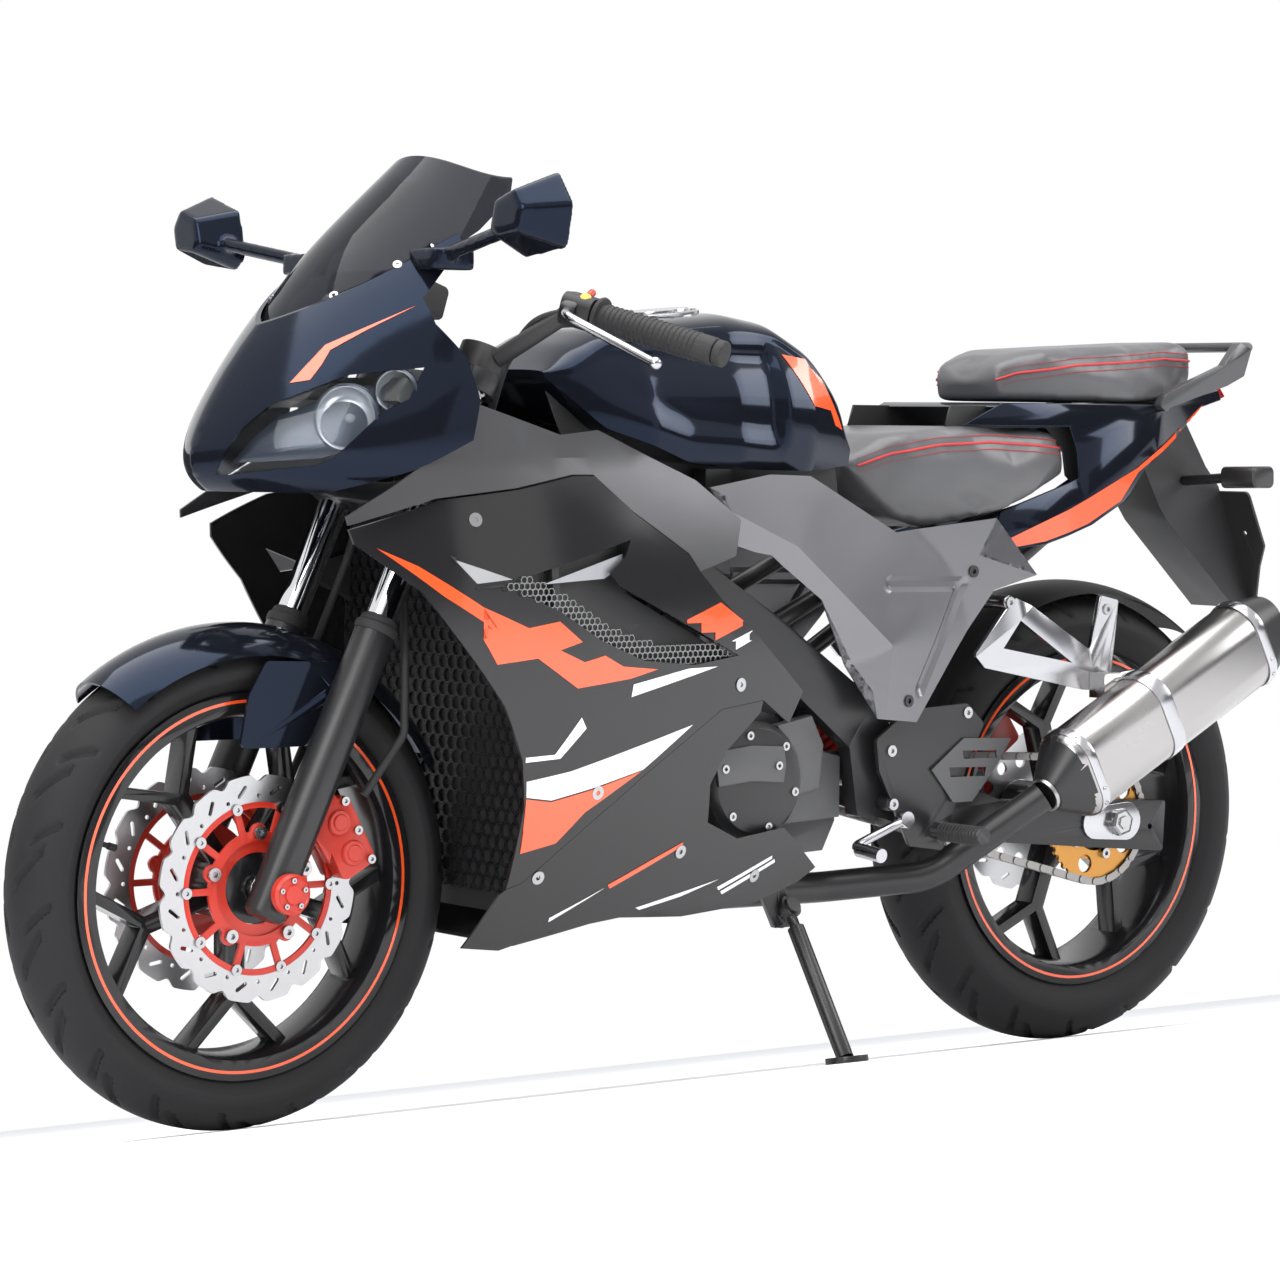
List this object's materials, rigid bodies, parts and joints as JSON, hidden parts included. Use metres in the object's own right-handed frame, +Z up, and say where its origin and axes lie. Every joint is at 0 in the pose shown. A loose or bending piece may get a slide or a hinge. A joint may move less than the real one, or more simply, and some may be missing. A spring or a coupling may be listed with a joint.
{
  "type": "motorcycle",
  "caption": "Full-fairing sport motorcycle leaning on its side stand, with steering, turning wheels, folding stand and hinged fuel cap.",
  "frame": {"origin": "on the floor, under the middle of the machine's bounding box", "axes": "+X forwards, +Y to the rider's left, +Z up"},
  "size_m": [1.9588, 0.7942, 1.1773],
  "materials": {
    "gloss_black": "gloss",
    "gray_panel": "satin",
    "matte_black": "matt",
    "smoked_screen": "smoked",
    "clear_lens": "clear",
    "red_lens": "clear",
    "tyre_rubber": "matt",
    "rim_paint": "gloss",
    "frame_paint": "satin",
    "engine_alloy": "cast, dark",
    "alloy": "polished",
    "stainless": "brushed",
    "chrome": "polished",
    "red_paint": "satin",
    "gold_steel": "plated",
    "grip_rubber": "matt",
    "seat_vinyl": "grained vinyl",
    "mirror_glass": "polished"
  },
  "bodies": {
    "frame": {"chain": "stainless", "main_frame": "frame_paint", "subframe": "frame_paint", "engine": "engine_alloy", "engine_covers": "engine_alloy", "exhaust_pipe": "frame_paint", "muffler": "stainless", "swingarm": "frame_paint", "rear_axle": "stainless", "shock_absorber": "frame_paint", "rear_caliper": "red_paint", "hugger": "matte_black", "side_fairing_left": "gloss_black", "inner_panel_left": "gray_panel", "side_fairing_right": "gloss_black", "inner_panel_right": "gray_panel", "front_indicators": "clear_lens", "belly_pan": "gloss_black", "cowl_grille": "matte_black", "upper_cowl": "gloss_black", "headlamps": "clear_lens", "windscreen": "smoked_screen", "fairing_stay": "matte_black", "instruments": "matte_black", "mirrors": "matte_black", "mirror_glasses": "mirror_glass", "fuel_tank": "gloss_black", "rider_seat": "seat_vinyl", "pillion_seat": "seat_vinyl", "tail_cowl": "gloss_black", "tail_lamp": "red_lens", "grab_rails": "gray_panel", "rear_mudguard": "matte_black", "rear_indicators": "clear_lens", "frame_cover_left": "gray_panel", "frame_cover_right": "gray_panel", "footrests": "gray_panel", "foot_levers": "frame_paint", "pillion_footrests": "alloy", "stand_bracket": "frame_paint"},
    "steering": {"yokes": "frame_paint", "fork_tubes": "chrome", "fork_sliders": "frame_paint", "front_mudguard": "gloss_black", "handlebars": "frame_paint", "grips": "grip_rubber", "hand_levers": "alloy", "brake_calipers": "red_paint", "front_axle": "stainless", "brake_hoses": "matte_black"},
    "front_wheel": {"front_tyre": "tyre_rubber", "front_rim": "rim_paint", "front_discs": "stainless", "disc_carriers": "red_paint"},
    "rear_wheel": {"rear_tyre": "tyre_rubber", "rear_rim": "rim_paint", "rear_sprocket": "gold_steel", "rear_disc": "stainless"},
    "side_stand": {"side_stand": "frame_paint"},
    "fuel_cap": {"fuel_cap": "alloy"}
  },
  "joints": [
    {"name": "steering_turn", "type": "hinge", "parent": "frame", "child": "steering", "pos_m": [0.40954, -0.05502, 0.78424], "axis": [-0.4226, 0.1729, 0.8897], "range_deg": [-25, 25]},
    {"name": "front_wheel_spin", "type": "hinge", "parent": "steering", "child": "front_wheel", "pos_m": [0.68644, -0.1513, 0.28896], "axis": [0, 0.9816, -0.1908], "continuous": true},
    {"name": "rear_wheel_spin", "type": "hinge", "parent": "frame", "child": "rear_wheel", "pos_m": [-0.64355, -0.14805, 0.30564], "axis": [0, 0.9816, -0.1908], "continuous": true},
    {"name": "side_stand_fold", "type": "hinge", "parent": "frame", "child": "side_stand", "pos_m": [-0.07855, -0.05414, 0.20182], "axis": [-0.1001, 0.8987, 0.4269], "range_deg": [0, 80]},
    {"name": "fuel_cap_lid", "type": "hinge", "parent": "frame", "child": "fuel_cap", "pos_m": [0.1138, -0.02027, 0.96303], "axis": [0, 0.9816, -0.1908], "range_deg": [0, 95]}
  ]
}
